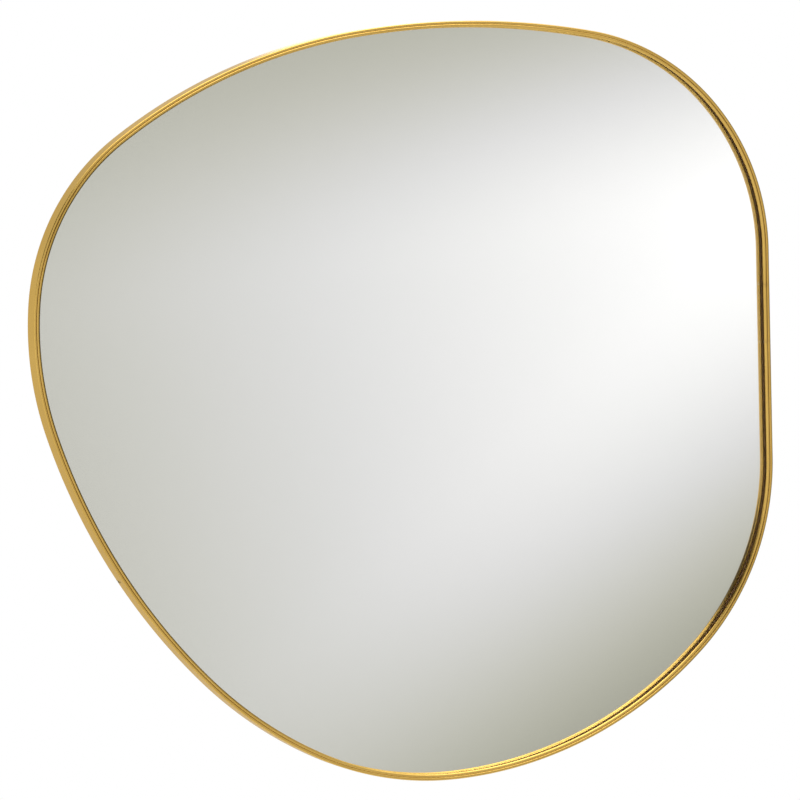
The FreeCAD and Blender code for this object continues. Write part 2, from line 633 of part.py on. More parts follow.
def hanger_plates():
    """Raised keyhole plates: two feet on the board and a bridge level with the band's rear edge."""
    plates = []
    for name, side, x in hanger_sides():
        plate = new_body(name)
        section = plane_sketch(plate, "section", "XY_Plane", "-Sizes.hanger_below")
        steel, deep = "Sizes.hanger_steel", board_back
        near, far = "Sizes.hanger_bridge_width / 2", "(Sizes.hanger_bridge_width / 2 + Sizes.hanger_foot_width)"
        shape = [("-" + far, deep), ("-" + far, deep + " + " + steel), ("-" + near, deep + " + " + steel),
                 ("-" + near, "0"), (near, "0"), (near, deep + " + " + steel),
                 (far, deep + " + " + steel), (far, deep), (near + " - " + steel, deep),
                 (near + " - " + steel, "-" + steel), ("-" + near + " + " + steel, "-" + steel),
                 ("-" + near + " + " + steel, deep)]
        corners = [[float(sheet.evalExpression(text)) for text in corner] for corner in shape]
        ties = [(index, axis, text) for index, corner in enumerate(shape) for axis, text in zip("XY", corner)]
        polygon(section, corners, ties)
        hat = pad(plate, section, "Sizes.hanger_above + Sizes.hanger_below")
        t, y, bridge = size("hanger_steel"), board_back_y, size("hanger_bridge_width") / 2

        def bends(places):
            return lambda edge, middle: any(abs(abs(middle.x) - px) + abs(middle.y - py) < 1e-4
                                            for px, py in places)

        tight = fillet(plate, hat, edges_where(hat.Shape, bends([(bridge, y + t), (bridge - t, -t)])),
                       "Sizes.hanger_bend_round")
        fillet(plate, tight, edges_where(tight.Shape, bends([(bridge, 0), (bridge - t, y)])),
               "Sizes.hanger_bend_round + 0.6 * Sizes.hanger_steel")
        entry = plane_sketch(plate, "round_end", "XZ_Plane")
        circle(entry, 0, 0, "Sizes.keyhole_radius", "0", "0")
        pocket(plate, entry)
        slot = plane_sketch(plate, "slot", "XZ_Plane")
        rectangle(slot, "-Sizes.keyhole_slot_radius", "Sizes.keyhole_slot_radius", "0",
                  "Sizes.keyhole_slot_rise")
        pocket(plate, slot)
        top = plane_sketch(plate, "slot_top", "XZ_Plane")
        circle(top, 0, size("keyhole_slot_rise"), "Sizes.keyhole_slot_radius", "0", "Sizes.keyhole_slot_rise")
        pocket(plate, top)
        feet = plane_sketch(plate, "foot_holes", "XZ_Plane")
        reach = float(sheet.evalExpression(foot_reach))
        rise = float(sheet.evalExpression(foot_rise))
        for foot in (-1, 1):
            circle(feet, foot * reach, rise, "Sizes.tab_hole_radius", "%d * %s" % (foot, foot_reach), foot_rise)
        pocket(plate, feet)
        plate.setExpression("Placement.Base.x", x)
        plates.append(plate)
    return plates


def wall_bumpers():
    """Rubber bumpers on the board, which reach past the band to keep its rear edge off the wall."""
    bumpers = []
    count = int(size("bumper_count"))
    for number in range(count):
        distance = size("bumper_first") + perimeter * number / count
        point, heading, radius = along_outline(distance, size("bumper_inset"))
        bumper = new_body("wall_bumper_%d" % (number + 1), board_back)
        disc = plane_sketch(bumper, "disc", "XZ_Plane")
        circle(disc, 0, 0, "Sizes.bumper_radius", "0", "0")
        height = "Sizes.bumper_stand_off - " + board_back
        block = pad(bumper, disc, height, rearward=True)
        rear = size("bumper_stand_off") - board_back_y
        fillet(bumper, block, edges_where(block.Shape, lambda edge, middle: abs(middle.y - rear) < 1e-4),
               "min(Sizes.bumper_round; 0.4 * Sizes.bumper_radius)")
        bumper.Placement.Base = Vector(point.x, bumper.Placement.Base.y, point.y)
        bumpers.append(bumper)
    return bumpers


pieces = side_band() + front_bead() + mirror_glass() + tape_strips() + backing_board()
pieces += fixing_tabs() + [screw_group("tab_screws", "tab_steel", tab_screw_points())]
pieces += hanger_plates() + [screw_group("hanger_screws", "hanger_steel", hanger_screw_points())]
pieces += wall_bumpers()
doc.recompute()

for item in doc.Objects:
    if "Invalid" in item.State or "Error" in item.State:
        raise RuntimeError("%s failed: %s" % (item.Label, item.State))
for piece in pieces:
    if piece.Shape.isNull() or not piece.Shape.isValid():
        raise RuntimeError(piece.Label + " has no valid shape")

os.makedirs("parts", exist_ok=True)
for piece in pieces:
    piece.Shape.exportStep("parts/%s.step" % piece.Label)
    box = piece.Shape.BoundBox
    print("%-18s %2d solid(s) %10.1f mm3  x %.1f..%.1f  y %.2f..%.2f  z %.1f..%.1f"
          % (piece.Label, len(piece.Shape.Solids), piece.Shape.Volume,
             box.XMin, box.XMax, box.YMin, box.YMax, box.ZMin, box.ZMax))
print("outline: perimeter %.1f, slopes' radii %.1f and %.1f" % (perimeter, outline[3][3], outline[6][3]))
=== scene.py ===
import math

import bmesh
import bpy
import numpy as np
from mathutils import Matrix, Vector


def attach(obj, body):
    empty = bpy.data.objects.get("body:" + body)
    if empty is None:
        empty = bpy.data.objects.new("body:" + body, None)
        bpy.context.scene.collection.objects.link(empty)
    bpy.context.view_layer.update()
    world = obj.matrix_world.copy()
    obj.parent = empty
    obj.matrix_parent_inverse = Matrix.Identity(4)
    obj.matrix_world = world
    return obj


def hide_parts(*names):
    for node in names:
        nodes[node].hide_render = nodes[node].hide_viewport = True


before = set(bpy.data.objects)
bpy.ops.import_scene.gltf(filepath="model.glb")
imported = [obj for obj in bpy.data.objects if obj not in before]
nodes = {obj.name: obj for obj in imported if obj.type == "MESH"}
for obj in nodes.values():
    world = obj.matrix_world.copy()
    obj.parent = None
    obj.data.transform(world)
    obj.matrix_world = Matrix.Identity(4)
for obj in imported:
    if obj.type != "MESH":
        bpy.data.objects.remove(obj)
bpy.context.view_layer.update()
print("frame loaded:", len(nodes), "nodes")

mm = 0.001  # measures are in millimetres unless a note says metres; the scene is in metres

# The frame's outer edge seen from the front: a straight right side, then arcs that each turn left.
# An arc is (radius, degrees turned); radius None means that closing the outline decides it.
outline = {
    "foot": (379.0, -303.0),
    "heading": 91.4,
    "straight": 216.0,
    "arcs": [(233, 80), (814, 18), (None, 28), (227, 49), (333, 23),
             (None, 27), (423, 19), (312, 28), (422, 42), (274, 46)],
}


# Sum of the straight and of every arc's chord is zero: two equations for the two free radii.
def closeOutline(shape):
    heading = np.radians(shape["heading"])
    turns = np.radians([turn for radius, turn in shape["arcs"]])
    ends = heading + np.cumsum(turns)
    starts = ends - turns
    chords = np.stack([np.sin(ends) - np.sin(starts), np.cos(starts) - np.cos(ends)])
    radii = np.array([radius or 0.0 for radius, turn in shape["arcs"]], float)
    free = [k for k, (radius, turn) in enumerate(shape["arcs"]) if radius is None]
    run = shape["straight"] * np.array([np.cos(heading), np.sin(heading)])
    radii[free] = np.linalg.solve(chords[:, free], -(chords @ radii + run))
    lengths = np.concatenate([[shape["straight"]], radii * turns])
    moves = np.concatenate([[[0.0, 0.0]], [run], (chords * radii).T[:-1]])
    return {
        "ends": np.cumsum(lengths),
        "begins": np.cumsum(lengths) - lengths,
        "headings": np.concatenate([[heading], starts]),
        "radii": np.concatenate([[np.inf], radii]),
        "corners": shape["foot"] + np.cumsum(moves, 0),
    }


closed = closeOutline(outline)
perimeter = closed["ends"][-1]


# Point and inward normal at a distance along the outline: where its arc starts plus the chord so far.
def traceOutline(distance):
    distance = np.asarray(distance, float) % perimeter
    k = np.clip(np.searchsorted(closed["ends"], distance), 0, len(closed["ends"]) - 1)
    along = distance - closed["begins"][k]
    heading, radius = closed["headings"][k], closed["radii"][k]
    straight = np.isinf(radius)
    safe = np.where(straight, 1.0, radius)
    ahead = heading + np.where(straight, 0.0, along / safe)
    x = np.where(straight, along * np.cos(heading), safe * (np.sin(ahead) - np.sin(heading)))
    z = np.where(straight, along * np.sin(heading), safe * (np.cos(heading) - np.cos(ahead)))
    point = closed["corners"][k] + np.stack([x, z], -1)
    return point, np.stack([-np.sin(ahead), np.cos(ahead)], -1)


# A closed run of right-angled corners, each rounded by a quarter circle or oval:
# point = corner + back * before * (1 - sin t) + ahead * after * (1 - cos t), t from 0 to 90 degrees.
# A support point beyond each end of a rounding keeps the flats flat in the shading.
def roundedProfile(corners, radii, steps, support=0.12, extra=()):
    corners = np.asarray(corners, float)
    points = []
    for k, radius in enumerate(radii):
        before, after = radius if isinstance(radius, tuple) else (radius, radius)
        here, back, ahead = corners[k], corners[k - 1], corners[(k + 1) % len(corners)]
        a = (back - here) / np.linalg.norm(back - here)
        b = (ahead - here) / np.linalg.norm(ahead - here)
        t = np.linspace(0, np.pi / 2, steps[k] + 1)[:, None]
        arc = here + a * before * (1 - np.sin(t)) + b * after * (1 - np.cos(t))
        points += [arc[:1] + a * support, arc, arc[-1:] + b * support]
        points += [np.asarray([point], float) for corner, point in extra if corner == k]
    return np.concatenate(points)


# Mesh from points, faces and one pair of texture coordinates for each face corner.
def makePiece(name, points, faces, corners, materials, slots=None, sharp=30):
    mesh = bpy.data.meshes.new(name)
    mesh.from_pydata(points * mm, [], faces)
    layer = mesh.uv_layers.new(name="surface")
    layer.data.foreach_set("uv", (np.asarray(corners) * mm).ravel())
    for material in materials:
        mesh.materials.append(material)
    if slots is not None:
        mesh.polygons.foreach_set("material_index", slots)
    shell = bmesh.new()
    shell.from_mesh(mesh)
    bmesh.ops.recalc_face_normals(shell, faces=shell.faces)
    shell.to_mesh(mesh)
    shell.free()
    mesh.polygons.foreach_set("use_smooth", np.ones(len(mesh.polygons), bool))
    mesh.set_sharp_from_angle(angle=math.radians(sharp))
    mesh.update()
    piece = bpy.data.objects.new(name, mesh)
    bpy.context.scene.collection.objects.link(piece)
    return piece


# A closed profile of (inset, depth) carried along the outline: point = edge + inward normal * inset.
# Behind the depth stop, both ends are set back by gap, so two runs leave an open hairline there.
def sweepProfile(name, start, end, count, profile, material, gap=0.0, stop=0.0):
    distances = np.linspace(start, end, count)
    if gap:
        distances = np.concatenate([[start], np.linspace(start + gap, end - gap, count), [end]])
    edge, inward = traceOutline(distances)
    columns, rows = len(distances), len(profile)
    plane = edge[:, None, :] + inward[:, None, :] * profile[None, :, :1]
    depth = np.broadcast_to(profile[None, :, 1], (columns, rows))
    points = np.stack([plane[..., 0], depth, plane[..., 1]], -1).reshape(-1, 3)
    sides = np.linalg.norm(np.diff(profile, axis=0, append=profile[:1]), axis=1)
    across = np.concatenate([[0], np.cumsum(sides)])
    i, j = [grid.ravel() for grid in np.meshgrid(np.arange(columns - 1), np.arange(rows), indexing="ij")]
    nextI, nextJ = i + 1, (j + 1) % rows
    quads = np.stack([i * rows + j, i * rows + nextJ, nextI * rows + nextJ, nextI * rows + j], -1)
    corners = np.stack([distances[i], across[j], distances[i], across[j + 1],
                        distances[nextI], across[j + 1], distances[nextI], across[j]], -1).reshape(-1, 4, 2)
    ends = [(0, np.arange(rows)), (columns - 1, np.arange(rows))]
    floors = []
    if gap:
        rear = profile[:, 1] >= stop - 1e-6
        keep = ~(rear[j] & rear[nextJ] & np.isin(i, (0, columns - 2)))
        quads, corners = quads[keep], corners[keep]
        first = np.flatnonzero(rear & ~np.roll(rear, 1))[0]
        behind = (first + np.arange(rear.sum())) % rows
        before = (behind[-1] + np.arange(rows - rear.sum() + 2)) % rows
        ends = [(0, before), (1, behind), (columns - 2, behind), (columns - 1, before)]
        low, high = before[0], before[-1]
        floors = [[k * rows + low, k * rows + high, (k + 1) * rows + high, (k + 1) * rows + low]
                  for k in (0, columns - 2)]
    faces = quads.tolist() + [(k * rows + ring).tolist() for k, ring in ends] + floors
    flat = [corners.reshape(-1, 2)]
    flat += [np.stack([np.full(len(ring), distances[k]), profile[ring, 0]], -1) for k, ring in ends]
    flat += [np.full((4, 2), start)] * len(floors)
    return makePiece(name, points, faces, np.concatenate(flat), [material])


plateMiddle = (0.0, -235.0)


# A plate cut to the outline: point = middle + share * (edge + inward normal * inset - middle).
# Its rings are (inset, share of the way out, depth, slot), from the front's middle to the back's.
def outlinePlate(name, rings, materials, count=720):
    middle = np.array(plateMiddle)
    edge, inward = traceOutline(np.arange(count) * perimeter / count)
    layers = []
    for inset, share, depth, slot in rings:
        plane = middle + (edge + inward * inset - middle) * share
        layers.append(np.stack([plane[:, 0], np.full(count, depth), plane[:, 1]], -1))
    poles = np.array([[middle[0], rings[0][2], middle[1]], [middle[0], rings[-1][2], middle[1]]])
    points = np.concatenate(layers + [poles])
    k = np.arange(count)
    i, j = [grid.ravel() for grid in np.meshgrid(k, np.arange(len(rings) - 1), indexing="ij")]
    nextI, nextK = (i + 1) % count, (k + 1) % count
    quads = np.stack([j * count + i, j * count + nextI, (j + 1) * count + nextI, (j + 1) * count + i], -1)
    last = (len(rings) - 1) * count
    fans = [np.stack([np.full(count, len(points) - 2), k, nextK], -1),
            np.stack([np.full(count, len(points) - 1), last + k, last + nextK], -1)]
    faces = quads.tolist() + fans[0].tolist() + fans[1].tolist()
    slots = np.concatenate([np.array([ring[3] for ring in rings])[j + 1],
                            np.full(count, rings[0][3]), np.full(count, rings[-1][3])])
    flat = np.concatenate([points[block.ravel()] for block in (quads, *fans)])[:, [0, 2]]
    return makePiece(name, points, faces, flat, materials, slots.astype(np.int32))


# Adds one node; an input is linked when its value is a socket and set when it is a plain value.
def addNode(tree, kind, inputs=None, **settings):
    node = tree.nodes.new(kind)
    for key, value in settings.items():
        setattr(node, key, value)
    for key, value in (inputs or {}).items():
        if isinstance(value, bpy.types.NodeSocket):
            tree.links.new(value, node.inputs[key])
        else:
            node.inputs[key].default_value = value
    return node


def compute(tree, operation, *values):
    return addNode(tree, "ShaderNodeMath", dict(enumerate(values)), operation=operation).outputs[0]


def ramp(tree, value, low, high, toLow=0.0, toHigh=1.0):
    inputs = {"Value": value, "From Min": low, "From Max": high, "To Min": toLow, "To Max": toHigh}
    return addNode(tree, "ShaderNodeMapRange", inputs, interpolation_type="SMOOTHSTEP").outputs[0]


def mixColour(tree, factor, first, second, blend="MIX"):
    inputs = {0: factor, 6: first, 7: second}
    return addNode(tree, "ShaderNodeMix", inputs, data_type="RGBA", blend_type=blend).outputs[2]


def asColour(tree, value):
    return addNode(tree, "ShaderNodeCombineColor", {0: value, 1: value, 2: value}).outputs[0]


# First times its share plus second times its share.
def weighted(tree, first, firstShare, second, secondShare):
    return compute(tree, "ADD", compute(tree, "MULTIPLY", first, firstShare),
                   compute(tree, "MULTIPLY", second, secondShare))


def noise(tree, place, scale, detail, **inputs):
    settings = {"Vector": place, "Scale": scale, "Detail": detail, **inputs}
    return addNode(tree, "ShaderNodeTexNoise", settings).outputs[0]


def newGroup(name, inputs, outputs):
    tree = bpy.data.node_groups.new(name, "ShaderNodeTree")
    for label, kind, value in inputs:
        tree.interface.new_socket(label, in_out="INPUT", socket_type=kind).default_value = value
    for label, kind in outputs:
        tree.interface.new_socket(label, in_out="OUTPUT", socket_type=kind)
    return tree, tree.nodes.new("NodeGroupInput").outputs, tree.nodes.new("NodeGroupOutput").inputs


def useGroup(tree, group, inputs):
    node = tree.nodes.new("ShaderNodeGroup")
    node.node_tree = group
    for key, value in inputs.items():
        if isinstance(value, bpy.types.NodeSocket):
            tree.links.new(value, node.inputs[key])
        else:
            node.inputs[key].default_value = value
    return node.outputs


def stretched(tree, place, scale):
    return addNode(tree, "ShaderNodeVectorMath", {0: place, 1: scale}, operation="MULTIPLY").outputs[0]


# Fine lines of a satin brush: noise drawn out along the first coordinate, and slow clouds over it.
def brushedLines():
    tree, given, result = newGroup(
        "brushedLines",
        [("Vector", "NodeSocketVector", (0, 0, 0)), ("Lines per mm", "NodeSocketFloat", 5.0),
         ("Line length mm", "NodeSocketFloat", 30.0)],
        [("Height", "NodeSocketFloat"), ("Shade", "NodeSocketFloat")])
    across = compute(tree, "MULTIPLY", given["Lines per mm"], 1000.0)
    along = compute(tree, "DIVIDE", 1000.0, given["Line length mm"])
    scale = addNode(tree, "ShaderNodeCombineXYZ", {0: along, 1: across, 2: across}).outputs[0]
    drawn = stretched(tree, given["Vector"], scale)
    fine = noise(tree, drawn, 1.0, 3.0, Roughness=0.6)
    wide = noise(tree, given["Vector"], 14.0, 2.0)
    tree.links.new(fine, result["Height"])
    tree.links.new(weighted(tree, fine, 0.6, wide, 0.4), result["Shade"])
    return tree


# Small grains in two sizes, for board, foam and rubber.
def grains():
    tree, given, result = newGroup(
        "grains",
        [("Vector", "NodeSocketVector", (0, 0, 0)), ("Grain mm", "NodeSocketFloat", 1.0),
         ("Stretch", "NodeSocketFloat", 1.0)],
        [("Height", "NodeSocketFloat"), ("Shade", "NodeSocketFloat"), ("Cloud", "NodeSocketFloat")])
    scale = compute(tree, "DIVIDE", 1000.0, given["Grain mm"])
    drawn = addNode(tree, "ShaderNodeCombineXYZ", {0: 1.0, 1: 1.0, 2: given["Stretch"]}).outputs[0]
    place = stretched(tree, given["Vector"], drawn)
    fine = noise(tree, place, scale, 4.0, Roughness=0.65)
    coarse = compute(tree, "MULTIPLY", scale, 0.7)
    cell = addNode(tree, "ShaderNodeTexVoronoi", {"Vector": place, "Scale": coarse}).outputs["Distance"]
    tree.links.new(fine, result["Height"])
    tree.links.new(weighted(tree, fine, 0.65, cell, 0.5), result["Shade"])
    tree.links.new(noise(tree, given["Vector"], 9.0, 3.0), result["Cloud"])
    return tree


brushGroup, grainGroup = brushedLines(), grains()
print("node groups built")


def newMaterial(name):
    material = bpy.data.materials.new(name)
    material.use_nodes = True
    tree = material.node_tree
    tree.nodes.clear()
    shader = tree.nodes.new("ShaderNodeBsdfPrincipled")
    output = tree.nodes.new("ShaderNodeOutputMaterial")
    tree.links.new(shader.outputs[0], output.inputs[0])
    return material, tree, shader


def objectPlace(tree):
    return addNode(tree, "ShaderNodeTexCoord").outputs["Object"]


# Bump from a height, its strength and its depth in mm.
def addBump(tree, shader, height, strength, depth):
    inputs = {"Strength": strength, "Distance": depth * mm, "Height": height}
    tree.links.new(addNode(tree, "ShaderNodeBump", inputs).outputs[0], shader.inputs["Normal"])


stripJoints = (118.875, 1566.0)  # along the outline, where the strip's two lengths meet
beadSeams = (118.875, 179.0)     # where the bead's two pieces meet

goldLook = {
    "light": (0.63, 0.41, 0.108, 1), "dark": (0.55, 0.345, 0.082, 1), "edgeTint": (0.90, 0.78, 0.53, 1),
    "rough": (0.21, 0.27), "lines": 2.5, "lineLength": 90.0, "bump": (0.015, 0.04),
    "seamNear": 0.3, "seamFar": 5.0, "seamTint": (0.50, 0.31, 0.085, 1), "seamShare": 0.55,
    "weldNear": 0.6, "weldFar": 2.8, "weldTint": (0.10, 0.07, 0.025, 1), "weldShare": 0.95,
    "weldStart": -10.0, "weldFull": -7.0,
}


# Share of a mark at a distance from it, all in mm along the outline.
def markShare(tree, along, mark, near, far, share):
    away = compute(tree, "ABSOLUTE", compute(tree, "SUBTRACT", along, mark * mm))
    return ramp(tree, away, near * mm, far * mm, share, 0.0)


def goldMetal(name):
    look = goldLook
    material, tree, shader = newMaterial(name)
    surface = addNode(tree, "ShaderNodeUVMap", uv_map="surface").outputs[0]
    lines = useGroup(tree, brushGroup, {"Vector": surface, "Lines per mm": look["lines"],
                                        "Line length mm": look["lineLength"]})
    colour = mixColour(tree, ramp(tree, lines["Shade"], 0.35, 0.65), look["dark"], look["light"])
    along = addNode(tree, "ShaderNodeSeparateXYZ", {0: surface}).outputs[0]
    for seam in beadSeams:
        near = markShare(tree, along, seam, look["seamNear"], look["seamFar"], look["seamShare"])
        colour = mixColour(tree, near, colour, look["seamTint"])
    depth = addNode(tree, "ShaderNodeSeparateXYZ", {0: objectPlace(tree)}).outputs[1]
    rear = ramp(tree, depth, look["weldStart"] * mm, look["weldFull"] * mm)
    for weld in stripJoints:
        near = markShare(tree, along, weld, look["weldNear"], look["weldFar"], look["weldShare"])
        colour = mixColour(tree, compute(tree, "MULTIPLY", rear, near), colour, look["weldTint"])
    tree.links.new(colour, shader.inputs["Base Color"])
    tree.links.new(ramp(tree, lines["Shade"], 0.3, 0.7, *look["rough"]), shader.inputs["Roughness"])
    shader.inputs["Metallic"].default_value = 1.0
    shader.inputs["Specular Tint"].default_value = look["edgeTint"]
    addBump(tree, shader, lines["Height"], *look["bump"])
    return material


gold = goldMetal("satinGold")
print("gold ready")


# The frame: a strip on edge in two lengths, and the two pieces of bead inside its front edge.
bandSize = {"depth": 22.0, "wall": 3.0, "outerRound": 1.0, "innerRound": 0.7, "rearRound": 0.15,
            "roundSteps": (3, 10, 6, 3), "jointGap": 0.5, "jointDepth": 12.0, "step": 3.0}


def sideBands():
    s = bandSize
    wall, front, stop = s["wall"], -s["depth"], -s["jointDepth"]
    profile = roundedProfile([(0, 0), (0, front), (wall, front), (wall, 0)],
                             [s["rearRound"], s["outerRound"], s["innerRound"], s["rearRound"]],
                             s["roundSteps"], extra=[(0, (0, stop)), (2, (wall, stop))])
    right, left = stripJoints
    made = []
    for name, node, start, end in (("sideBandUpper", "side_band_upper", right, left),
                                   ("sideBandLower", "side_band_lower", left, right + perimeter)):
        band = sweepProfile(name, start, end, round((end - start) / s["step"]), profile, gold,
                            s["jointGap"] / 2, stop)
        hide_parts(node)
        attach(band, "root")
        made.append(band)
    return made


beadSize = {"width": 3.5, "height": 4.5, "outerRound": 0.9, "innerRound": (2.2, 1.2), "backRound": 3.0,
            "wallRound": 0.1, "roundSteps": (2, 6, 14, 12), "insert": (119.0, 179.0), "seamGap": 0.25,
            "longCount": 820, "insertCount": 24}


def frontBead():
    s, wall, front = beadSize, bandSize["wall"], -bandSize["depth"]
    inner, back = wall + s["width"], front + s["height"]
    profile = roundedProfile([(wall, back), (wall, front), (inner, front), (inner, back)],
                             [s["wallRound"], s["outerRound"], s["innerRound"], s["backRound"]],
                             s["roundSteps"], support=0.05)
    low, high = s["insert"]
    gap = s["seamGap"]
    made = []
    for name, node, start, end, count in (
            ("frontBeadLong", "front_bead_long", high + gap, perimeter + low - gap, s["longCount"]),
            ("frontBeadInsert", "front_bead_insert", low, high, s["insertCount"])):
        bead = sweepProfile(name, start, end, count, profile, gold)
        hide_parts(node)
        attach(bead, "root")
        made.append(bead)
    return made


strips = sideBands() + frontBead()
print("frame swept:", [len(strip.data.polygons) for strip in strips])


# The mirror: a pane with a ground edge, and the silvering with its paint behind it. The ground edge's dark
# amber-brown is painted shade of the gap around the glass, with a painted reflection of the gold band.
glassSize = {"front": -14.5, "thickness": 4.0, "gap": 1.5, "arris": 0.5,
             "coatMargin": 0.6, "coat": 0.2, "contact": 0.01}
# The two edge tones are painted shade and painted gold reflection on the glass's ground edge, not the glass's
# own colour.
glassLook = {"tint": (0.979, 0.985, 0.984, 1), "ior": 1.52, "haze": 0.006,
             "edge": (0.17, 0.075, 0.014, 1), "edgePaintedShadePale": (0.24, 0.115, 0.026, 1),
             "edgeGrain": 1.2, "edgeRough": (0.45, 0.65), "edgeBump": (0.12, 0.05)}
silverLook = {"silver": (0.96, 0.945, 0.94, 1), "silverWorn": (0.95, 0.94, 0.93, 1),
              "paint": (0.30, 0.33, 0.35, 1), "paintLight": (0.36, 0.38, 0.40, 1),
              "paintGrain": 2.0, "paintRough": (0.45, 0.6), "paintBump": (0.1, 0.05)}


def clearGlass():
    material, tree, shader = newMaterial("clearGlass")
    haze = noise(tree, objectPlace(tree), 6.0, 4.0)
    tree.links.new(ramp(tree, haze, 0.62, 0.8, 0.0, glassLook["haze"]), shader.inputs["Roughness"])
    shader.inputs["Base Color"].default_value = glassLook["tint"]
    shader.inputs["IOR"].default_value = glassLook["ior"]
    shader.inputs["Transmission Weight"].default_value = 1.0
    return material


# Ground edge of the pane: its grain is real, its dark amber-brown colour is painted shade and painted reflection
# of the gold band.
def paintedShadeEdge():
    material, tree, shader = newMaterial("groundEdgePaintedShade")
    grain = useGroup(tree, grainGroup, {"Vector": objectPlace(tree), "Grain mm": glassLook["edgeGrain"]})
    # Two tones of the painted shade on the edge, mixed by the grain.
    colour = mixColour(tree, ramp(tree, grain["Shade"], 0.3, 0.9), glassLook["edge"], glassLook["edgePaintedShadePale"])
    tree.links.new(colour, shader.inputs["Base Color"])
    tree.links.new(ramp(tree, grain["Shade"], 0.3, 0.9, *glassLook["edgeRough"]), shader.inputs["Roughness"])
    shader.inputs["IOR"].default_value = glassLook["ior"]
    addBump(tree, shader, grain["Height"], *glassLook["edgeBump"])
    return material


def silverFront():
    material, tree, shader = newMaterial("silvering")
    film = ramp(tree, noise(tree, objectPlace(tree), 3.0, 2.0), 0.3, 0.7)
    colour = mixColour(tree, film, silverLook["silver"], silverLook["silverWorn"])
    tree.links.new(colour, shader.inputs["Base Color"])
    shader.inputs["Metallic"].default_value = 1.0
    shader.inputs["Roughness"].default_value = 0.0
    return material


def silverBack():
    material, tree, shader = newMaterial("mirrorBackPaint")
    grain = useGroup(tree, grainGroup, {"Vector": objectPlace(tree), "Grain mm": silverLook["paintGrain"]})
    colour = mixColour(tree, ramp(tree, grain["Cloud"], 0.3, 0.7), silverLook["paint"], silverLook["paintLight"])
    tree.links.new(colour, shader.inputs["Base Color"])
    tree.links.new(ramp(tree, grain["Shade"], 0.2, 1.0, *silverLook["paintRough"]), shader.inputs["Roughness"])
    addBump(tree, shader, grain["Height"], *silverLook["paintBump"])
    return material


def mirrorPane():
    s, wall = glassSize, bandSize["wall"]
    front, back, edge = s["front"], s["front"] + s["thickness"], wall + s["gap"]
    rim = edge + s["arris"]
    rings = [(rim, 0.5, front, 0), (rim, 0.9, front, 0), (rim, 1.0, front, 0),
             (edge, 1.0, front + s["arris"], 1), (edge, 1.0, back - s["arris"], 1), (rim, 1.0, back, 1),
             (rim, 0.9, back, 0), (rim, 0.5, back, 0)]
    glass = outlinePlate("mirrorGlass", rings, [clearGlass(), paintedShadeEdge()])
    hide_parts("mirror_glass")
    coatEdge, start, end = rim + s["coatMargin"], back + s["contact"], back + s["coat"]
    rings = [(coatEdge, 0.5, start, 0), (coatEdge, 1.0, start, 0),
             (coatEdge, 1.0, end, 1), (coatEdge, 0.5, end, 1)]
    coat = outlinePlate("silverCoat", rings, [silverFront(), silverBack()])
    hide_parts("silver_coat")
    for piece in (glass, coat):
        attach(piece, "root")
    return glass, coat


print("mirror pane made:", [len(piece.data.polygons) for piece in mirrorPane()])


# The back: finishes for the pieces that keep their own solids.
def dress(material, *names):
    for name in names:
        mesh = nodes[name].data
        mesh.materials.clear()
        mesh.materials.append(material)


boardLook = {"light": (0.56, 0.40, 0.25, 1), "dark": (0.36, 0.235, 0.135, 1), "fibre": 1.1,
             "stretch": 0.6, "clouds": (0.92, 1.06), "rough": (0.62, 0.85), "bump": (0.35, 0.2)}


def fibreboard():
    material, tree, shader = newMaterial("rawFibreboard")
    look = boardLook
    fibre = useGroup(tree, grainGroup, {"Vector": objectPlace(tree), "Grain mm": look["fibre"],
                                        "Stretch": look["stretch"]})
    colour = mixColour(tree, ramp(tree, fibre["Shade"], 0.3, 0.85), look["dark"], look["light"])
    clouds = asColour(tree, ramp(tree, fibre["Cloud"], 0.3, 0.7, *look["clouds"]))
    tree.links.new(mixColour(tree, 1.0, colour, clouds, "MULTIPLY"), shader.inputs["Base Color"])
    tree.links.new(ramp(tree, fibre["Shade"], 0.2, 1.0, *look["rough"]), shader.inputs["Roughness"])
    addBump(tree, shader, fibre["Height"], *look["bump"])
    return material


zincLook = {"light": (0.74, 0.76, 0.78, 1), "dark": (0.55, 0.57, 0.60, 1), "rough": (0.26, 0.42),
            "flakes": 450.0, "lineLength": 12.0, "bump": (0.15, 0.04)}


def zincPlate(name, tint, lines):
    material, tree, shader = newMaterial(name)
    look, place = zincLook, objectPlace(tree)
    brush = useGroup(tree, brushGroup, {"Vector": place, "Lines per mm": lines,
                                        "Line length mm": look["lineLength"]})
    flake = addNode(tree, "ShaderNodeTexVoronoi", {"Vector": place, "Scale": look["flakes"]}).outputs["Color"]
    shade = addNode(tree, "ShaderNodeSeparateColor", {0: flake}).outputs[0]
    both = weighted(tree, shade, 0.3, brush["Shade"], 0.7)
    colour = mixColour(tree, ramp(tree, both, 0.2, 0.8), look["dark"], look["light"])
    tree.links.new(mixColour(tree, 1.0, colour, tint, "MULTIPLY"), shader.inputs["Base Color"])
    tree.links.new(ramp(tree, both, 0.2, 0.8, *look["rough"]), shader.inputs["Roughness"])
    shader.inputs["Metallic"].default_value = 1.0
    addBump(tree, shader, brush["Height"], *look["bump"])
    return material


foamLook = {"dark": (0.66, 0.66, 0.63, 1), "light": (0.88, 0.88, 0.85, 1),
            "rough": (0.75, 0.9), "grain": 0.5, "bump": (0.4, 0.1)}


def foamTape():
    look = foamLook
    material, tree, shader = newMaterial("foamTape")
    foam = useGroup(tree, grainGroup, {"Vector": objectPlace(tree), "Grain mm": look["grain"]})
    colour = mixColour(tree, ramp(tree, foam["Shade"], 0.3, 0.9), look["dark"], look["light"])
    tree.links.new(colour, shader.inputs["Base Color"])
    tree.links.new(ramp(tree, foam["Shade"], 0.3, 0.9, *look["rough"]), shader.inputs["Roughness"])
    addBump(tree, shader, foam["Height"], *look["bump"])
    return material


rubberLook = {"dark": (0.022, 0.022, 0.023, 1), "light": (0.07, 0.07, 0.068, 1),
              "rough": (0.5, 0.75), "grain": 0.35, "bump": (0.3, 0.06)}


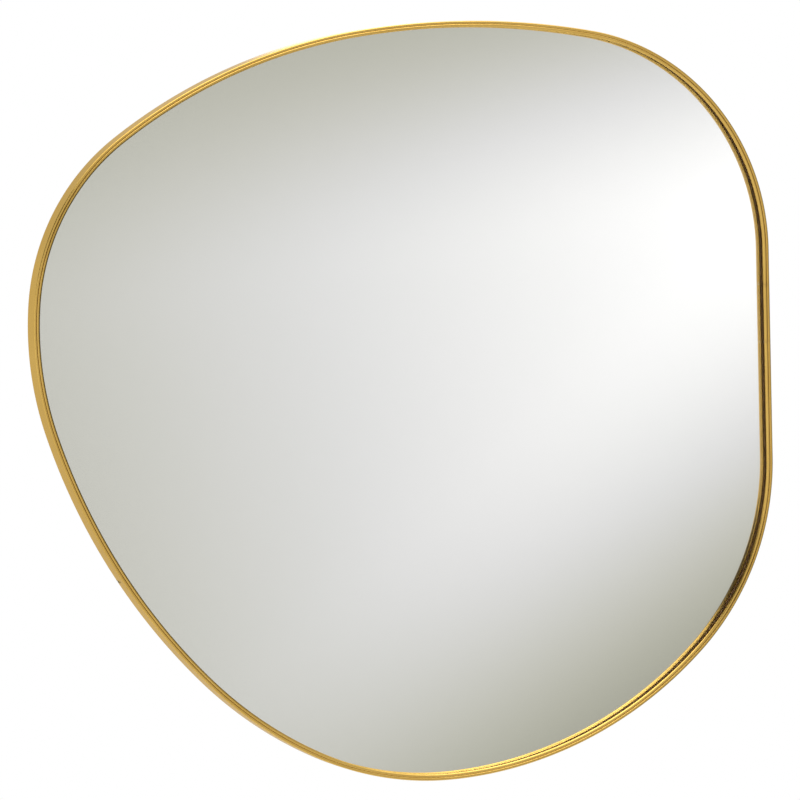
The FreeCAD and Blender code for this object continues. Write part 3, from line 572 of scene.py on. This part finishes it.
def bumperRubber():
    look = rubberLook
    material, tree, shader = newMaterial("bumperRubber")
    skin = useGroup(tree, grainGroup, {"Vector": objectPlace(tree), "Grain mm": look["grain"]})
    colour = mixColour(tree, ramp(tree, skin["Shade"], 0.45, 1.0), look["dark"], look["light"])
    tree.links.new(colour, shader.inputs["Base Color"])
    tree.links.new(ramp(tree, skin["Shade"], 0.3, 1.0, *look["rough"]), shader.inputs["Roughness"])
    addBump(tree, shader, skin["Height"], *look["bump"])
    return material


dress(fibreboard(), "backing_board")
zinc = zincPlate("zincPlate", (1.0, 1.0, 1.0, 1), 4.0)
dress(zinc, "hanger_left", "hanger_right", *["fixing_tab_%d" % k for k in range(1, 9)])
dress(zincPlate("screwSteel", (1.0, 0.97, 0.90, 1), 7.0), "tab_screws", "hanger_screws")
dress(foamTape(), *["tape_strip_%d" % k for k in range(1, 6)])
dress(bumperRubber(), *["wall_bumper_%d" % k for k in range(1, 5)])
print("back finished")


# The stage: a pale floor in metres, the room, the lamps and the camera.
floorLook = {"level": -1.6, "radius": 1.5, "colour": (0.74, 0.74, 0.73, 1), "lift": 0.1}


# 1 for the rays by which metal and glass show something, otherwise 0.
def shownByGloss(tree, path):
    return compute(tree, "MAXIMUM", path["Is Glossy Ray"], path["Is Transmission Ray"])


# A round disc: point = (cos a, sin a) * radius at the floor's level.
def paleFloor():
    count = 96
    angle = np.arange(count) * 2 * np.pi / count
    ring = np.stack([np.cos(angle), np.sin(angle), np.zeros(count)], -1) * floorLook["radius"]
    points = np.concatenate([ring, [[0, 0, 0]]]) + [0, 0, floorLook["level"]]
    faces = [[count, k, (k + 1) % count] for k in range(count)]
    mesh = bpy.data.meshes.new("paleFloor")
    mesh.from_pydata(points, [], faces)
    floor = bpy.data.objects.new("paleFloor", mesh)
    bpy.context.scene.collection.objects.link(floor)
    material, tree, shader = newMaterial("paleFloor")
    shader.inputs["Base Color"].default_value = floorLook["colour"]
    shader.inputs["Roughness"].default_value = 0.9
    path = tree.nodes.new("ShaderNodeLightPath").outputs
    seen = compute(tree, "MAXIMUM", path["Is Camera Ray"], shownByGloss(tree, path))
    strength = compute(tree, "MULTIPLY", seen, floorLook["lift"])
    tree.links.new(strength, shader.inputs["Emission Strength"])
    shader.inputs["Emission Color"].default_value = (1, 1, 1, 1)
    mesh.materials.append(material)


# The room by direction. In front, where the mirror looks: grey walls, and a soft bright patch on the right,
# by the direction's slopes against straight ahead. All round: bright to the left and above, dim to the right.
# Behind the mirror, metal and glass see the same white background as the camera.
roomLook = {
    "grey": 0.418, "greyUp": 0.95, "levelLimit": 0.15, "gain": 1.12,
    "patch": 1.11, "patchPivot": 0.36, "patchSide": (0.177, 0.644),
    "patchTop": (-0.0228, 0.0336, 0.1507), "patchSlant": (-0.1684, -0.0729, 0.8197),  # low, high, slope
    "frontLeft": (0.2, 0.27), "frontRight": (0.53, 0.46), "frontUp": -0.045, "frontHalf": (0.14, 0.085),
    "left": 1.15, "right": 0.12, "leftRight": (0.3, 0.78),
    "above": 1.3, "aboveFrom": (0.35, 0.9), "below": -0.15, "belowFrom": (-0.8, -0.1),
    "dip": 0.92, "dipUp": (0.1, 0.19), "dipSide": (0.13, 0.0), "dipOver": (0.4, 0.28), "dipSlant": 0.55,
    "window": (-0.61, -0.767, 0.19), "windowEdge": (0.984, 0.997), "windowGlow": 1.6,
    "behind": 0.45, "behindFrom": (0.1, 0.5), "backdrop": 0.85,
    "warm": (1.0, 1.0, 0.83, 1), "warmFrom": (0.38, 0.85),
}


# Grey that lightens upwards, plus the patch where its three soft edges overlap.
def frontRoom(tree, across, up):
    look = roomLook
    offset = compute(tree, "SUBTRACT", across, look["patchPivot"])
    low, high, slope = look["patchTop"]
    above = compute(tree, "SUBTRACT", up, compute(tree, "MULTIPLY", offset, slope))
    top = ramp(tree, above, low, high, 1.0, 0.0)
    low, high, slope = look["patchSlant"]
    slant = ramp(tree, compute(tree, "SUBTRACT", up, compute(tree, "MULTIPLY", offset, slope)), low, high)
    side = compute(tree, "MULTIPLY", ramp(tree, across, *look["patchSide"]), look["patch"])
    patch = compute(tree, "MULTIPLY", compute(tree, "MULTIPLY", top, slant), side)
    limit = look["levelLimit"]
    level = compute(tree, "MINIMUM", compute(tree, "MAXIMUM", up, -limit), limit)
    grey = compute(tree, "ADD", compute(tree, "MULTIPLY", level, look["greyUp"]), look["grey"])
    return compute(tree, "MULTIPLY", compute(tree, "ADD", grey, patch), look["gain"])


# Left to right, above and below; less a dim corner up on the left, plus one small bright window.
def roomAround(tree, direction, way):
    look = roomLook
    around = ramp(tree, way[0], *look["leftRight"], look["left"], look["right"])
    around = compute(tree, "ADD", around, ramp(tree, way[2], *look["aboveFrom"], 0.0, look["above"]))
    around = compute(tree, "ADD", around, ramp(tree, way[2], *look["belowFrom"], look["below"], 0.0))
    over = compute(tree, "ADD", way[2], compute(tree, "MULTIPLY", way[0], look["dipSlant"]))
    dip = compute(tree, "MULTIPLY", ramp(tree, way[2], *look["dipUp"]), ramp(tree, over, *look["dipOver"]))
    dip = compute(tree, "MULTIPLY", dip, ramp(tree, way[0], *look["dipSide"], 0.0, look["dip"]))
    around = compute(tree, "MULTIPLY", around, compute(tree, "SUBTRACT", 1.0, dip))
    towards = {0: direction, 1: look["window"]}
    facing = addNode(tree, "ShaderNodeVectorMath", towards, operation="DOT_PRODUCT").outputs["Value"]
    glow = ramp(tree, facing, *look["windowEdge"], 0.0, look["windowGlow"])
    around = compute(tree, "ADD", around, glow)
    return compute(tree, "MULTIPLY", around, ramp(tree, way[1], *look["behindFrom"], 1.0, look["behind"]))


def room():
    look = roomLook
    world = bpy.data.worlds.new("room")
    bpy.context.scene.world = world
    world.use_nodes = True
    tree = world.node_tree
    tree.nodes.clear()
    direction = tree.nodes.new("ShaderNodeTexCoord").outputs["Generated"]
    way = addNode(tree, "ShaderNodeSeparateXYZ", {0: direction}).outputs
    reach = compute(tree, "MAXIMUM", compute(tree, "MULTIPLY", way[1], -1.0), 0.05)
    across = compute(tree, "DIVIDE", way[0], reach)
    up = compute(tree, "DIVIDE", way[2], reach)
    front, around = frontRoom(tree, across, up), roomAround(tree, direction, way)
    sides = compute(tree, "MULTIPLY", ramp(tree, across, *look["frontLeft"]),
                    ramp(tree, across, *look["frontRight"]))
    height = compute(tree, "ABSOLUTE", compute(tree, "SUBTRACT", up, look["frontUp"]))
    inside = compute(tree, "MULTIPLY", sides, ramp(tree, height, *look["frontHalf"]))
    bright = weighted(tree, around, compute(tree, "SUBTRACT", 1.0, inside), front, inside)
    tint = mixColour(tree, ramp(tree, bright, *look["warmFrom"]), look["warm"], (1, 1, 1, 1))
    seen = mixColour(tree, 1.0, tint, asColour(tree, bright), "MULTIPLY")
    roomShader = addNode(tree, "ShaderNodeBackground", {"Color": seen, "Strength": 1.0}).outputs[0]
    plain = addNode(tree, "ShaderNodeBackground", {"Color": (1, 1, 1, 1), "Strength": 1.0}).outputs[0]
    path = tree.nodes.new("ShaderNodeLightPath").outputs
    backdrop = ramp(tree, way[1], *look["behindFrom"], 0.0, look["backdrop"])
    mirrored = compute(tree, "MULTIPLY", backdrop, shownByGloss(tree, path))
    white = compute(tree, "MAXIMUM", path["Is Camera Ray"], mirrored)
    both = addNode(tree, "ShaderNodeMixShader", {0: white, 1: roomShader, 2: plain}).outputs[0]
    tree.links.new(both, tree.nodes.new("ShaderNodeOutputWorld").inputs[0])


lamps = {  # place, what it faces, width and height in metres, watts
    "keyPanel": ((0.1, -1.9, 2.7), (0, 0, -0.25), (2.4, 2.2), 34.0),
    "rearPanel": ((1.5, 3.2, 0.9), (0, 0, -0.25), (1.6, 1.6), 13.0),
}


def studioLamps():
    for name, (place, target, size, watts) in lamps.items():
        light = bpy.data.lights.new(name, "AREA")
        light.shape = "RECTANGLE"
        light.size, light.size_y = size
        light.energy = watts
        lamp = bpy.data.objects.new(name, light)
        lamp.location = place
        lamp.rotation_euler = (Vector(target) - Vector(place)).to_track_quat("-Z", "Y").to_euler()
        bpy.context.scene.collection.objects.link(lamp)


# Place aimed at and distance in mm, degrees to the left and above, lens for a 36 mm sensor.
view = {"aim": (-34.1, -22.0, -238.15), "distance": 5678.3, "left": 20.0, "above": 2.5,
        "lens": 251.75, "sensor": 36.0}


def photoCamera():
    left, above = math.radians(view["left"]), math.radians(view["above"])
    flat = math.cos(above)
    back = Vector((-math.sin(left) * flat, -math.cos(left) * flat, math.sin(above)))
    data = bpy.data.cameras.new("photoCamera")
    data.lens = view["lens"]
    data.sensor_width = view["sensor"]
    data.clip_start = 0.05
    camera = bpy.data.objects.new("photoCamera", data)
    camera.location = (Vector(view["aim"]) + back * view["distance"]) * mm
    camera.rotation_euler = (-back).to_track_quat("-Z", "Y").to_euler()
    bpy.context.scene.collection.objects.link(camera)
    bpy.context.scene.camera = camera


paleFloor()
room()
studioLamps()
photoCamera()
bpy.context.scene.view_settings.view_transform = "Standard"
print("stage set")
